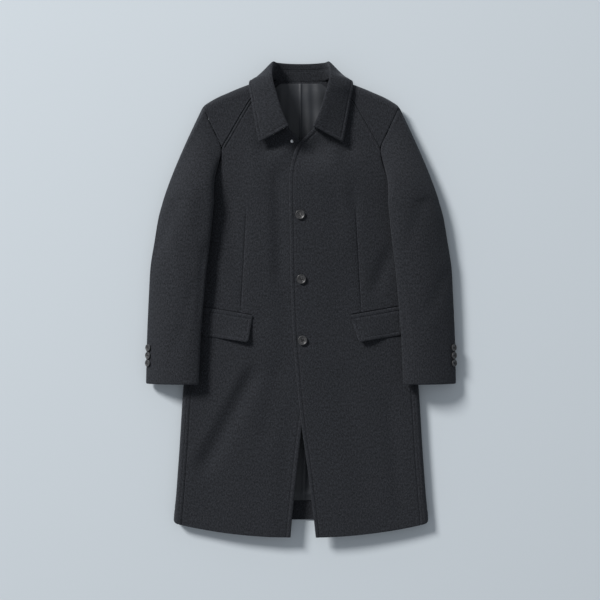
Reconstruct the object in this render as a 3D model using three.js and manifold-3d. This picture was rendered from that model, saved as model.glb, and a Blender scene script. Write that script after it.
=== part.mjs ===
// A men's knee-length wool overcoat, single-breasted, lying on its back on a flat surface.
// Millimetres. +X is the wearer's left, +Y runs from the hem to the collar, +Z points up from the surface.
// The origin lies on the surface, under the middle of the coat's outline.
// "Own x" is the distance from the middle line, counted outwards on either side of the coat.

import * as THREE from "three";
import { mergeVertices } from "three/addons/utils/BufferGeometryUtils.js";
import Module from "manifold-3d";

const wool = 2.4;
const collarCloth = 2.6;
const satin = 1;
const seamGap = 0.35;
const sideSeamInset = 20;
const armpitY = 245;
const backHemY = -514;
const liningHemY = -468;
const cuffY = -192;
const sleeveStartY = 230;
const neckHalfWidth = 74;
const outlineMiddleY = 4.35;
const flapThickness = 3;
const weltHeight = 7;
const frontButton = { diameter: 22, thickness: 4, rim: 2.6, dish: 1.3, hole: 1.9, holeSpacing: 4.2 };
const cuffButton = { diameter: 16.5, thickness: 3.4, rim: 2, dish: 1, hole: 1.5, holeSpacing: 3.2 };

// Body sections: y, half width, radius of the side fold, rise of the front above the fold.
const bodySections = [
  [-551, 299, 13, 9],
  [-452, 293, 13, 9.5],
  [-339, 285, 13, 10],
  [-225, 278, 13, 11],
  [-100, 268, 13.5, 12],
  [20, 261, 14, 13],
  [120, 258, 14, 18],
  [245, 257, 14, 22],
  [300, 260, 15, 19],
  [400, 262, 16, 10],
  [460, 262, 17, 6],
  [530, 262, 18, 4],
];

// Front and neck edges: y, own x of the edge of the over front, own x of the edge of the under front.
const frontEdges = [
  [-551, 34.5, 24.5],
  [-509, 30, 21],
  [-460, 24, 16],
  [-381, 14, 8],
  [-295, 2, -2],
  [-208, -7.5, -14],
  [-92, -18, -23],
  [50, -24, -27],
  [200, -26.5, -28],
  [271, -28, -28],
  [306, -25.6, -26],
  [337, -18.6, -19],
  [366, -7, -7],
  [383, 9, 9],
  [404, 30, 30],
  [420, 43, 43],
  [436, 54, 54],
  [456, 62, 62],
  [476, 68, 68],
  [499, 74, 74],
];

// Outer edge of a front above the armpit: y, own x. The last five rows are the diagonal yoke seam.
const armholeFront = [
  [245, 237],
  [262, 220],
  [280, 209],
  [295, 200],
  [330, 188],
  [358, 184],
  [387, 167.5],
  [416, 151],
  [445, 134],
  [469, 119],
  [488, 99],
  [500, 80],
];
const yokeCornerY = 358;

// Shoulder fold: own x, y.
const shoulder = [
  [60, 521.5],
  [90, 519],
  [105, 514.5],
  [121, 508.5],
  [150, 497.5],
  [171, 488.5],
  [192, 479.5],
  [208, 471],
  [224, 461],
  [229.5, 456],
];
const shoulderTip = { x: 229.5, y: 456 };

// Edge of the back above the armpit: y, distance from the middle along the cloth.
const armholeBack = [
  [245, 294],
  [248, 268],
  [253, 250],
  [262, 236],
  [280, 215],
  [310, 200],
  [345, 196],
  [400, 206],
  [440, 221],
  [456, 229.5],
];

// Soft hollows in the fronts: start x, start y, end x, end y, width, depth.
const hollows = [
  [-114, -178, -233, -390, 18, 5],
  [119, 269, 128, 201, 16, 3],
  [207, 120, 172, 24, 18, 5],
  [-14, 358, 56, 348, 33, 21],
  [-92, 360, -48, 366, 22, 11],
];

// Sleeve sections: y, own x of the outer fold, own x of the inner fold, loft.
const sleeveSections = [
  [-192, 363, 237, 40],
  [-113, 361.5, 234, 41],
  [-57, 359.5, 231, 42],
  [27, 355.5, 223.5, 44],
  [83, 352, 218, 45],
  [139, 343, 211, 47],
  [195, 333.5, 205, 49],
  [230, 324, 201.5, 50],
];

// Armhole loop of a sleeve: turn round the sleeve in degrees, own x, y, height.
// A height of null lies on the front of the coat, and the number after it is how far it stands off it.
const armholeLoop = [
  [0, 229.9, 456.4, 17, 0],
  [18, 225, 444, null, 0],
  [45, 214, 420, null, 0],
  [75, 202.6, 395, null, 0],
  [105, 186.4, 360, null, 0],
  [130, 189, 330, null, 3.5],
  [165, 200.5, 297, null, 4],
  [200, 215, 270, null, 4],
  [235, 236, 249.5, null, 4],
  [252, 254, 247, 29, 0],
  [270, 262.5, 246, 15, 0],
  [285, 254.5, 251, 3.5, 0],
  [300, 232, 268.5, 0.6, 0],
  [315, 211, 293, 0.3, 0],
  [328, 198.5, 335, 0.3, 0],
  [343, 206.5, 395, 0.3, 0],
  [353, 221.5, 437, 3.5, 0],
  [360, 229.9, 456.4, 17, 0],
];

// Smooth value of a table's column at a height y: cubic between rows, held at the ends.
function lookUp(rows, column, at) {
  const last = rows.length - 1;
  if (at <= rows[0][0]) return rows[0][column];
  if (at >= rows[last][0]) return rows[last][column];
  let i = 0;
  while (at > rows[i + 1][0]) i += 1;
  const slope = (k) => {
    const a = Math.max(k - 1, 0);
    const b = Math.min(k + 1, last);
    return (rows[b][column] - rows[a][column]) / (rows[b][0] - rows[a][0]);
  };
  const span = rows[i + 1][0] - rows[i][0];
  const t = (at - rows[i][0]) / span;
  const blend = t * t * (3 - 2 * t);
  return (
    rows[i][column] * (1 - blend) +
    rows[i + 1][column] * blend +
    span * t * (1 - t) * (slope(i) * (1 - t) - slope(i + 1) * t)
  );
}

const smooth = (from, to, at) => {
  const t = Math.min(Math.max((at - from) / (to - from), 0), 1);
  return t * t * (3 - 2 * t);
};
const mix = (a, b, t) => a + (b - a) * t;

function hollowDepth(x, y) {
  let sum = 0;
  for (const [x1, y1, x2, y2, width, depth] of hollows) {
    const length = Math.hypot(x2 - x1, y2 - y1);
    const along = ((x - x1) * (x2 - x1) + (y - y1) * (y2 - y1)) / length;
    const across = ((x - x1) * (y2 - y1) - (y - y1) * (x2 - x1)) / length;
    const ends = smooth(-30, 25, along) * smooth(length + 30, length - 25, along);
    sum += depth * ends * Math.exp(-((across / width) ** 2));
  }
  return sum;
}

// Share of the quarter-round shoulder fold that a point has climbed: 0 on the fold, 1 past it.
function shoulderShare(x, y, height) {
  const distance = (lookUp(shoulder, 1, Math.abs(x)) - y) * 0.91;
  return Math.min(Math.max(distance / (height / 2), 0), 1);
}

// Height of the coat's front: side folds, rise of the chest, hollows and the rounded shoulder.
function frontHeight(x, y) {
  const radius = lookUp(bodySections, 2, y);
  const reach = lookUp(bodySections, 1, y) - radius;
  const share = Math.min(Math.abs(x) / reach, 1);
  const rise = lookUp(bodySections, 3, y) * (1 - share * share) ** 1.5;
  const height = 2 * radius + rise - hollowDepth(x, y);
  const climbed = shoulderShare(x, y, height);
  return (height / 2) * (1 + Math.sqrt(1 - (1 - climbed) ** 2));
}

// Height of the back's outer face: flat, lifted over the collar at the neck, rounded up at the shoulder.
function backHeight(x, y) {
  const height = 2 * frontHeight(x, lookUp(shoulder, 1, Math.abs(x)));
  const climbed = shoulderShare(x, y, height);
  const round = (height / 2) * (1 - Math.sqrt(1 - (1 - climbed) ** 2)) * smooth(48, 76, Math.abs(x));
  const lift = 4.5 * smooth(450, 492, y) * smooth(125, 104, Math.abs(x));
  return Math.max(round, lift);
}

// How far the under front lies below the over front, where the two overlap.
const underDrop = (ownX, y) =>
  (wool + 0.6 + 1.8 * smooth(260, 310, y)) * smooth(78, 32, ownX) * smooth(402, 379, y);

const hemRise = (x) => 30 * (Math.abs(x) / 290) ** 2.2;

function grid(rowCount, columnCount, pointAt) {
  const rows = [];
  for (let i = 0; i <= rowCount; i += 1) {
    const row = [];
    for (let j = 0; j <= columnCount; j += 1) row.push(pointAt(j / columnCount, i / rowCount, j, i));
    rows.push(row);
  }
  return rows;
}

// The same sheet on the other side of the middle line, still facing outwards.
const mirrored = (points) =>
  points.map((row) => row.map((p) => new THREE.Vector3(-p.x, p.y, p.z)).reverse());

// Unit normals of a grid whose columns run along u and rows along v: u x v points outwards.
function gridNormals(points) {
  const lastRow = points.length - 1;
  const lastColumn = points[0].length - 1;
  return points.map((row, i) =>
    row.map((_, j) => {
      const u = points[i][Math.min(j + 1, lastColumn)].clone().sub(points[i][Math.max(j - 1, 0)]);
      const v = points[Math.min(i + 1, lastRow)][j].clone().sub(points[Math.max(i - 1, 0)][j]);
      return u.cross(v).normalize();
    }),
  );
}

// Closed wall of cloth from a grid: "outside" and "inside" are the distances of its two faces from the grid.
function clothGeometry(points, outside, inside, normals = gridNormals(points)) {
  const rowCount = points.length;
  const columnCount = points[0].length;
  const positions = [];
  for (const offset of [outside, -inside]) {
    points.forEach((row, i) =>
      row.forEach((p, j) => positions.push(...p.clone().addScaledVector(normals[i][j], offset).toArray())),
    );
  }
  const back = rowCount * columnCount;
  const at = (i, j) => i * columnCount + j;
  const indices = [];
  const quad = (a, b, c, d) => indices.push(a, b, c, a, c, d);
  for (let i = 0; i < rowCount - 1; i += 1) {
    for (let j = 0; j < columnCount - 1; j += 1) {
      quad(at(i, j), at(i, j + 1), at(i + 1, j + 1), at(i + 1, j));
      quad(back + at(i, j), back + at(i + 1, j), back + at(i + 1, j + 1), back + at(i, j + 1));
    }
    const right = columnCount - 1;
    quad(at(i, right), back + at(i, right), back + at(i + 1, right), at(i + 1, right));
    quad(at(i + 1, 0), back + at(i + 1, 0), back + at(i, 0), at(i, 0));
  }
  for (let j = 0; j < columnCount - 1; j += 1) {
    const top = rowCount - 1;
    quad(at(0, j), back + at(0, j), back + at(0, j + 1), at(0, j + 1));
    quad(at(top, j + 1), back + at(top, j + 1), back + at(top, j), at(top, j));
  }
  const geometry = new THREE.BufferGeometry();
  geometry.setAttribute("position", new THREE.Float32BufferAttribute(positions, 3));
  geometry.setIndex(indices);
  geometry.computeVertexNormals();
  return geometry;
}

const coat = new THREE.Group();
const charcoalWool = { color: 0x2c2e33, roughness: 0.95, metalness: 0 };
const greySatin = { color: 0x33363a, roughness: 0.45, metalness: 0 };
const blackHorn = { color: 0x1d1d20, roughness: 0.35, metalness: 0 };
const brightSteel = { color: 0xb9bcc0, roughness: 0.3, metalness: 1 };

function addMesh(name, geometry, finish) {
  const mesh = new THREE.Mesh(geometry, new THREE.MeshStandardMaterial(finish));
  mesh.name = name;
  coat.add(mesh);
  return mesh;
}

// Fronts
const frontRows = [
  -551, -505, -440, -370, -295, -225, -160, -100, -40, 30, 90, 150, 205, 245, 262, 280, 295, 315, 335, 358, 387,
  404, 420, 436, 456, 476, 488, 499,
];
const sideEdge = (y) =>
  y <= armpitY ? lookUp(bodySections, 1, y) - sideSeamInset : lookUp(armholeFront, 1, y);

function frontPoints(edgeColumn, mirror, drop) {
  const half = grid(frontRows.length - 1, 12, (u, _, __, i) => {
    const rowY = frontRows[i];
    const ownX = mix(lookUp(frontEdges, edgeColumn, rowY), sideEdge(rowY) - seamGap, u);
    const y = rowY + hemRise(ownX) * smooth(-440, -551, rowY);
    const z = frontHeight(mirror ? -ownX : ownX, y) - drop(ownX, y);
    return new THREE.Vector3(ownX, y, z);
  });
  return mirror ? mirrored(half) : half;
}
addMesh("front_left", clothGeometry(frontPoints(1, false, () => 0), 0, wool), charcoalWool);
addMesh("front_right", clothGeometry(frontPoints(2, true, underDrop), 0, wool), charcoalWool);

// Front shoulder yokes, between the diagonal seam and the shoulder fold
const yokeHalf = grid(8, 9, (u, v) => {
  const seamY = mix(499, yokeCornerY + 1, u);
  const top = { x: mix(neckHalfWidth + 2, shoulderTip.x - seamGap, u) };
  top.y = lookUp(shoulder, 1, top.x);
  const climb = 1 - (1 - v) ** 1.6;
  const x = mix(lookUp(armholeFront, 1, seamY) + 2 * seamGap, top.x, climb);
  const y = mix(seamY + 2 * seamGap, top.y - 0.02, climb);
  return new THREE.Vector3(x, y, frontHeight(x, y) + 0.2 * smooth(0.8, 1, v));
});
addMesh("yoke_left", clothGeometry(yokeHalf, 0, wool), charcoalWool);
addMesh("yoke_right", clothGeometry(mirrored(yokeHalf), 0, wool), charcoalWool);

// Back, which turns round the side folds onto the front and up to the shoulder folds
const backColumns = [0, 0.17, 0.34, 0.5, 0.65, 0.77, 0.835, 0.86, 0.885, 0.91, 0.935, 0.965, 1];
const backRows = [
  -551, -500, -440, -370, -295, -225, -160, -100, -40, 30, 90, 150, 205, 235, 245, 248, 253, 262, 280, 300,
];
const backTopRows = [330, 365, 400, 425, 440, 448, 453, 456];
const backTop = (x) => (x > neckHalfWidth ? lookUp(shoulder, 1, x) : 516 + 4 * (x / neckHalfWidth) ** 2);

function backEdge(y) {
  if (y > armpitY) return lookUp(armholeBack, 1, y);
  const radius = lookUp(bodySections, 2, y);
  return lookUp(bodySections, 1, y) - radius + Math.PI * radius + sideSeamInset - radius;
}

// Point of the body's cross-section at a distance from the middle of the back, measured along the cloth.
function aroundBody(distance, y) {
  const radius = lookUp(bodySections, 2, y);
  const reach = lookUp(bodySections, 1, y) - radius;
  const turn = (distance - reach) / radius;
  if (turn <= 0) return new THREE.Vector3(distance, y, backHeight(distance, y));
  if (turn < Math.PI) {
    return new THREE.Vector3(reach + radius * Math.sin(turn), y, radius * (1 - Math.cos(turn)));
  }
  const x = reach - (distance - reach - Math.PI * radius);
  return new THREE.Vector3(x, y, frontHeight(x, y));
}

const backHalf = grid(backRows.length + backTopRows.length - 1, backColumns.length - 1, (_, __, j, i) => {
  const rowY = i < backRows.length ? backRows[i] : backTopRows[i - backRows.length];
  const distance = backColumns[j] * backEdge(rowY);
  const point = aroundBody(distance, rowY);
  const lower = smooth(-440, -551, rowY);
  const upper = Math.max((rowY - 300) / (shoulderTip.y - 300), 0);
  point.y += lower * (hemRise(point.x) * smooth(8, 28, point.z) + (backHemY + 551) * smooth(28, 8, point.z));
  if (upper > 0) {
    point.y = mix(300, backTop(point.x) - 0.02, upper);
    point.z = backHeight(point.x, point.y) - 0.2 * smooth(0.9, 1, upper) * smooth(60, 90, point.x);
  }
  return point;
});
const wholeBack = backHalf.map((row) => [
  ...row.slice(1).reverse(),
  ...row.map((p) => new THREE.Vector3(-p.x, p.y, p.z)),
]);
addMesh("back", clothGeometry(wholeBack, 0, wool), charcoalWool);

// Back lining, lying on the inner face of the back: y, half width
const liningSections = [
  [-468, 262],
  [-200, 248],
  [100, 230],
  [200, 222],
  [260, 205],
  [310, 184],
  [400, 188],
  [440, 196],
];
const liningPoints = grid(18, 18, (u, v) => {
  const rowY = mix(liningHemY, 440, v);
  const x = (2 * u - 1) * lookUp(liningSections, 1, rowY);
  const own = Math.abs(x);
  const top = mix(512, lookUp(shoulder, 1, own) - 34, smooth(45, 80, own));
  const y = rowY < 280 ? rowY : mix(280, top, (rowY - 280) / 160);
  return new THREE.Vector3(x, y, backHeight(x, y) + wool + satin + 1.2);
});
addMesh("back_lining", clothGeometry(liningPoints, 0, satin), greySatin);

// Sleeves: tubes that rest on the surface outside and on the body's side inside
const sleeveSteps = [0, 0.1, 0.22, 0.36, 0.52, 0.7, 0.86, 1];
const sleeveRows = [195, 139, 83, 27, -30, -85, -140, cuffY];

// Height of what the sleeve lies on: the surface, then a ramp over the side of the body.
function sleeveRest(ownX, y) {
  const half = lookUp(bodySections, 1, y);
  const body = Math.max(frontHeight(Math.min(ownX, half - 14), y), 2 * lookUp(bodySections, 2, y)) + 2;
  return 0.3 + body * smooth(half + 20, half - 8, ownX);
}

// Point of a level sleeve section at a turn in degrees: 0 is the outer fold, 90 the top, 180 the inner fold.
function sleeveSection(turn, y) {
  const [outer, inner, loft] = [1, 2, 3].map((column) => lookUp(sleeveSections, column, y));
  const angle = THREE.MathUtils.degToRad(turn);
  const x = (outer + inner) / 2 + ((outer - inner) / 2) * Math.cos(angle);
  const sine = Math.sin(angle);
  if (sine < 0) return new THREE.Vector3(x, y, sleeveRest(x, y) + (loft / 2) * (1 - (-sine) ** 0.55));
  const tilt = (outer - x) / (outer - inner);
  return new THREE.Vector3(x, y, mix(0.3, sleeveRest(inner, y), tilt) + (loft / 2) * (1 + sine ** 0.85));
}

function armholePoint(turn) {
  const x = lookUp(armholeLoop, 1, turn);
  const y = lookUp(armholeLoop, 2, turn);
  const i = armholeLoop.findIndex((row) => row[0] >= turn);
  const rows = [armholeLoop[Math.max(i - 1, 0)], armholeLoop[i]];
  const [low, high] = rows.map((row) => (row[3] === null ? frontHeight(row[1], row[2]) + row[4] : row[3]));
  const span = Math.max(rows[1][0] - rows[0][0], 1);
  return new THREE.Vector3(x, y, mix(low, high, (turn - rows[0][0]) / span));
}

// Between the armhole and the first level section the sleeve head swells outwards and up.
function sleevePoint(turn, row) {
  if (row >= sleeveSteps.length) return sleeveSection(turn, sleeveRows[row - sleeveSteps.length]);
  const share = sleeveSteps[row];
  const point = armholePoint(turn).lerp(sleeveSection(turn, sleeveStartY), share);
  const angle = THREE.MathUtils.degToRad(turn);
  const swell = 4 * share * (1 - share);
  const outwards = swell * 8 * Math.max(Math.cos(angle), 0) ** 2;
  point.x += outwards * 0.9;
  point.y += outwards * 0.4;
  point.z += turn < 180 ? swell * 7 * Math.sin(angle) : 0;
  return point;
}

// A panel between two turns, with the normals of the whole tube, so that its neighbour meets it edge to edge.
function sleevePanel(fromTurn, toTurn, columnCount) {
  const lastRow = sleeveSteps.length + sleeveRows.length - 1;
  const at = (turn, i) => sleevePoint((turn + 360) % 360, lastRow - Math.min(Math.max(i, 0), lastRow));
  const points = grid(lastRow, columnCount, (u, _, __, i) => at(mix(fromTurn, toTurn, u), i));
  const normals = grid(lastRow, columnCount, (u, _, __, i) => {
    const turn = mix(fromTurn, toTurn, u);
    const across = at(turn - 3, i).sub(at(turn + 3, i));
    return across.cross(at(turn, i + 1).sub(at(turn, i - 1))).normalize();
  });
  return { points, normals };
}
for (const [name, fromTurn, toTurn, columnCount] of [
  ["top_sleeve", 190, -8.8, 13],
  ["under_sleeve", 350, 191.1, 12],
]) {
  const { points, normals } = sleevePanel(fromTurn, toTurn, columnCount);
  addMesh(name + "_left", clothGeometry(points, 0, wool, normals), charcoalWool);
  addMesh(name + "_right", clothGeometry(mirrored(points), 0, wool, mirrored(normals)), charcoalWool);
}

// Collar stations from the middle of the back to the front end, each a row of own x, y and height for
// the neck seam, the fold, the belly of the fall and its outer edge. A height of null lies on the coat's front.
const collarStations = [
  [0, 516.7, 5.4, 0, 556.5, 12, 0, 551, 4, 0, 506, 1.8],
  [30, 517.2, 5.6, 30, 557, 13, 31, 552, 4.2, 33, 505.5, 1.8],
  [56, 519.5, 9, 55, 558, 20, 62, 551, 7, 66, 503.5, 1.9],
  [70, 523, 20, 65, 556, 42, 86, 538, 15, 97, 507.5, 2.3],
  [75, 519, 33, 68, 535, 57, 103, 524.5, 26, 112, 514.5, 10],
  [75, 506, null, 67, 518, 64, 102, 518, 46, 120, 513, 33],
  [72, 490, null, 63, 498, 65, 96, 498, 57, 119.5, 494, 46],
  [68, 477, null, 57, 478, 64, 88, 477, 59, 116, 476, 49],
  [54, 437, null, 45, 439, 65, 76, 433, 61, 108, 428, 54],
  [33, 401, null, 29.5, 404, 63, 60, 388, 62, 97, 370, 58],
];
const collarRise = { neck: 1.2 + collarCloth / 2, edge: 2 + collarCloth / 2 };

function stationPoint(row, column, rise) {
  const [x, y, z] = row.slice(column, column + 3);
  return new THREE.Vector3(x, y, z === null ? frontHeight(x, y) + rise : z);
}
const collarLine = (column, rise) => {
  const half = collarStations.map((row) => stationPoint(row, column, rise));
  const other = half.slice(1).reverse();
  return new THREE.CatmullRomCurve3(
    [...other.map((p) => new THREE.Vector3(-p.x, p.y, p.z)), ...half],
    false,
    "centripetal",
  );
};
const neckLine = collarLine(0, collarRise.neck);
const foldLine = collarLine(3, 0);
const bellyLine = collarLine(6, 0);
const edgeLine = collarLine(9, collarRise.edge);
const standShare = 0.68;
const standTop = (u) => neckLine.getPoint(u).lerp(foldLine.getPoint(u), standShare);

const standPoints = grid(3, 36, (u, v) => neckLine.getPoint(u).lerp(standTop(u), v * 0.95));
addMesh("collar_stand", clothGeometry(standPoints, collarCloth / 2, collarCloth / 2), charcoalWool);

const fallPoints = grid(10, 36, (u, v) => {
  const profile = [standTop(u), foldLine.getPoint(u), bellyLine.getPoint(u), edgeLine.getPoint(u)];
  return new THREE.CatmullRomCurve3(profile, false, "centripetal").getPoint(v);
});
addMesh("collar_fall", clothGeometry(fallPoints, collarCloth / 2, collarCloth / 2), charcoalWool);

// Pocket flaps and the narrow welts above them: own x and y of the four corners
const pockets = [
  { name: "left", side: 1, innerTop: [118, -40], outerTop: [235, -20], innerBottom: [136, -93], outerBottom: [235, -77] },
  { name: "right", side: -1, innerTop: [115, -41], outerTop: [235, -21], innerBottom: [123.5, -94], outerBottom: [235, -77] },
];

// A piece lying on a front: "corner" gives its own x and y, "standOff" how far its under face stands off the front.
function onFront(side, rowCount, columnCount, corner, standOff) {
  const points = grid(rowCount, columnCount, (u, v) => {
    const [ownX, y] = corner(u, v);
    return new THREE.Vector3(ownX, y, frontHeight(side * ownX, y) + standOff(u, v));
  });
  return side > 0 ? points : mirrored(points);
}
for (const { name, side, innerTop, outerTop, innerBottom, outerBottom } of pockets) {
  const flapCorner = (u, v) => {
    const top = [mix(innerTop[0], outerTop[0], u), mix(innerTop[1], outerTop[1], u)];
    const bottom = [mix(innerBottom[0], outerBottom[0], u), mix(innerBottom[1], outerBottom[1], u)];
    return [mix(bottom[0], top[0], v), mix(bottom[1], top[1], v)];
  };
  const flapStandOff = (u, v) => 0.6 + 6 * (1 - v) ** 1.5 * smooth(0.75, 0, u);
  const flap = onFront(side, 5, 8, flapCorner, flapStandOff);
  addMesh("pocket_flap_" + name, clothGeometry(flap, flapThickness, 0), charcoalWool);
  const weltCorner = (u, v) => {
    const [x, y] = flapCorner(mix(-0.015, 1, u), 1);
    return [x, y + 0.5 + weltHeight * v];
  };
  const welt = onFront(side, 1, 8, weltCorner, () => 0.6);
  addMesh("pocket_welt_" + name, clothGeometry(welt, wool, 0), charcoalWool);
}

// Buttons: a turned disc with a raised rim and a dish, and four holes bored through it
const wasm = await Module();
wasm.setup();

function toSolid(geometry) {
  const bare = geometry.clone();
  bare.deleteAttribute("normal");
  bare.deleteAttribute("uv");
  const merged = mergeVertices(bare, 1e-4);
  return new wasm.Manifold(
    new wasm.Mesh({
      numProp: 3,
      vertProperties: merged.attributes.position.array,
      triVerts: new Uint32Array(merged.index.array),
    }),
  );
}

function fromSolid(solid) {
  const mesh = solid.getMesh();
  const geometry = new THREE.BufferGeometry();
  geometry.setAttribute("position", new THREE.BufferAttribute(mesh.vertProperties, 3));
  geometry.setIndex(new THREE.BufferAttribute(mesh.triVerts, 1));
  geometry.computeVertexNormals();
  return geometry;
}

function buttonGeometry({ diameter, thickness, rim, dish, hole, holeSpacing }) {
  const radius = diameter / 2;
  const profile = [
    [0, 0],
    [radius * 0.82, 0],
    [radius, thickness * 0.4],
    [radius - 0.3 * rim, thickness * 0.85],
    [radius - 0.6 * rim, thickness],
    [radius - rim, thickness - 0.2],
    [radius - 1.5 * rim, thickness - dish],
    [0, thickness - dish],
  ].map(([x, y]) => new THREE.Vector2(x, y));
  let button = toSolid(new THREE.LatheGeometry(profile, 20).rotateX(Math.PI / 2));
  for (const [i, j] of [[-1, -1], [-1, 1], [1, -1], [1, 1]]) {
    const bore = new THREE.CylinderGeometry(hole / 2, hole / 2, 4 * thickness, 8).rotateX(Math.PI / 2);
    bore.translate((i * holeSpacing) / 2, (j * holeSpacing) / 2, 0);
    button = button.subtract(toSolid(bore));
  }
  return fromSolid(button);
}

// Seats a mesh on a surface point, with its own z axis along the surface's normal.
function seat(mesh, point, normal, standOff) {
  mesh.quaternion.setFromUnitVectors(new THREE.Vector3(0, 0, 1), normal);
  mesh.position.copy(point).addScaledVector(normal, standOff);
}

function frontNormal(x, y) {
  const step = 4;
  const slopeX = (frontHeight(x + step, y) - frontHeight(x - step, y)) / (2 * step);
  const slopeY = (frontHeight(x, y + step) - frontHeight(x, y - step)) / (2 * step);
  return new THREE.Vector3(-slopeX, -slopeY, 1).normalize();
}

const frontButtonPlaces = [[-2, 201.5], [1, 52], [3.5, -90.5]];
frontButtonPlaces.forEach(([x, y], i) => {
  const mesh = addMesh("front_button_" + (i + 1), buttonGeometry(frontButton), blackHorn);
  seat(mesh, new THREE.Vector3(x, y, frontHeight(x, y)), frontNormal(x, y), 0.5);
});

const cuffButtonTurn = 24;
const cuffButtonHeights = [-108, -126, -144];
for (const [name, side] of [["left", 1], ["right", -1]]) {
  cuffButtonHeights.forEach((y, i) => {
    const point = sleeveSection(cuffButtonTurn, y);
    const across = sleeveSection(cuffButtonTurn - 3, y).sub(sleeveSection(cuffButtonTurn + 3, y));
    const along = sleeveSection(cuffButtonTurn, y + 5).sub(sleeveSection(cuffButtonTurn, y - 5));
    const normal = across.cross(along).normalize();
    point.x *= side;
    normal.x *= side;
    seat(addMesh("cuff_button_" + name + "_" + (i + 1), buttonGeometry(cuffButton), blackHorn), point, normal, 0.5);
  });
}

// Snap at the neck of the under front
const snapPlace = { x: -21.4, y: 373.5 };
const snapProfile = [[0, 0], [3.6, 0], [3.6, 0.7], [2, 1], [1.5, 1.8], [0, 2]].map(([x, y]) => new THREE.Vector2(x, y));
const snap = addMesh("neck_snap", new THREE.LatheGeometry(snapProfile, 16).rotateX(Math.PI / 2), brightSteel);
const snapSeatHeight = frontHeight(snapPlace.x, snapPlace.y) - underDrop(-snapPlace.x, snapPlace.y);
seat(snap, new THREE.Vector3(snapPlace.x, snapPlace.y, snapSeatHeight), frontNormal(snapPlace.x, snapPlace.y), 0.9);

// All heights along Y above are counted from the collar's and hem's own marks; this centres the outline.
coat.position.y = -outlineMiddleY;
const overcoat = new THREE.Group();
overcoat.add(coat);

export default overcoat;
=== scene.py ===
# A men's wool overcoat lying on its back, seen from straight above.
# Shapes are worked out in millimetres from the coat's middle line, then put into metres.
import bpy
import numpy as np
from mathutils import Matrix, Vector


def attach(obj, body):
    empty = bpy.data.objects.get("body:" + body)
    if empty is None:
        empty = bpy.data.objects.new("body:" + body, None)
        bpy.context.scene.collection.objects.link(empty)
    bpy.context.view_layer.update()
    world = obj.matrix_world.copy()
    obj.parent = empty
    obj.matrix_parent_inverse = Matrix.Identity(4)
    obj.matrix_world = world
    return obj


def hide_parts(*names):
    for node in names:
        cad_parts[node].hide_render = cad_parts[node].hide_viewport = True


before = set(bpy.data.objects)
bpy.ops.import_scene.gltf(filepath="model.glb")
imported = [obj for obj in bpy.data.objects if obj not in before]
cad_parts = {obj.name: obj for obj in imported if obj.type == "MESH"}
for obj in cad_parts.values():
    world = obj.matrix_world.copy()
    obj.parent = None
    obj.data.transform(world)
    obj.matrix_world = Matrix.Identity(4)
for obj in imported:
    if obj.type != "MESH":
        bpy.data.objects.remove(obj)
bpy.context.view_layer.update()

outlineMiddleY = 4.35  # the CAD frame's origin, counted from the coat's own marks
wool = 2.4
collarCloth = 2.6
satin = 1.0
hemY = -551
armpitY = 245
sleeveStartY = 230
cuffY = -192
sideSeamInset = 20


# Tables of the coat's form, the same as the CAD model's
bodySections = np.array([  # y, half width, side fold radius, rise of the front
    (-551, 299, 13, 9), (-452, 293, 13, 9.5), (-339, 285, 13, 10), (-225, 278, 13, 11),
    (-100, 268, 13.5, 12), (20, 261, 14, 13), (120, 258, 14, 18), (245, 257, 14, 22),
    (300, 260, 15, 19), (400, 262, 16, 10), (460, 262, 17, 6), (530, 262, 18, 4),
])
frontEdges = np.array([  # y, own x of the over front's edge, own x of the under front's edge
    (-551, 34.5, 24.5), (-509, 30, 21), (-460, 24, 16), (-381, 14, 8), (-295, 2, -2),
    (-208, -7.5, -14), (-92, -18, -23), (50, -24, -27), (200, -26.5, -28), (271, -28, -28),
    (306, -25.6, -26), (337, -18.6, -19), (366, -7, -7), (383, 9, 9), (404, 30, 30),
    (420, 43, 43), (436, 54, 54), (456, 62, 62), (476, 68, 68), (499, 74, 74),
])
armholeFront = np.array([  # y, own x; the diagonal yoke seam from y 358 up
    (245, 237), (262, 220), (280, 209), (295, 200), (330, 188), (358, 184), (387, 167.5),
    (416, 151), (445, 134), (469, 119), (488, 99), (500, 80),
])
shoulder = np.array([  # own x, y of the shoulder fold
    (60, 521.5), (90, 519), (105, 514.5), (121, 508.5), (150, 497.5), (171, 488.5),
    (192, 479.5), (208, 471), (224, 461), (229.5, 456),
])
armholeBack = np.array([  # y, distance from the middle along the cloth
    (245, 294), (248, 268), (253, 250), (262, 236), (280, 215), (310, 200), (345, 196),
    (400, 206), (440, 221), (456, 229.5),
])


# Cubic between the rows of a table, held at its ends.
def lookUp(rows, column, at):
    keys, values = rows[:, 0], rows[:, column]
    at = np.clip(at, keys[0], keys[-1])
    slopes = np.empty(len(keys))
    slopes[1:-1] = (values[2:] - values[:-2]) / (keys[2:] - keys[:-2])
    slopes[0] = (values[1] - values[0]) / (keys[1] - keys[0])
    slopes[-1] = (values[-1] - values[-2]) / (keys[-1] - keys[-2])
    i = np.clip(np.searchsorted(keys, at, side="right") - 1, 0, len(keys) - 2)
    span = keys[i + 1] - keys[i]
    t = (at - keys[i]) / span
    blend = t * t * (3 - 2 * t)
    return (values[i] * (1 - blend) + values[i + 1] * blend
            + span * t * (1 - t) * (slopes[i] * (1 - t) - slopes[i + 1] * t))


# 0 below low, 1 above high, and an S-curve between them.
def smooth(low, high, at):
    t = np.clip((at - low) / (high - low), 0, 1)
    return t * t * (3 - 2 * t)


# From a to b by the share t.
def mix(a, b, t):
    return a + (b - a) * t


# 1 at no distance, 1/e at a distance of one width.
def bell(distance, width):
    return np.exp(-(distance / width) ** 2)


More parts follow.
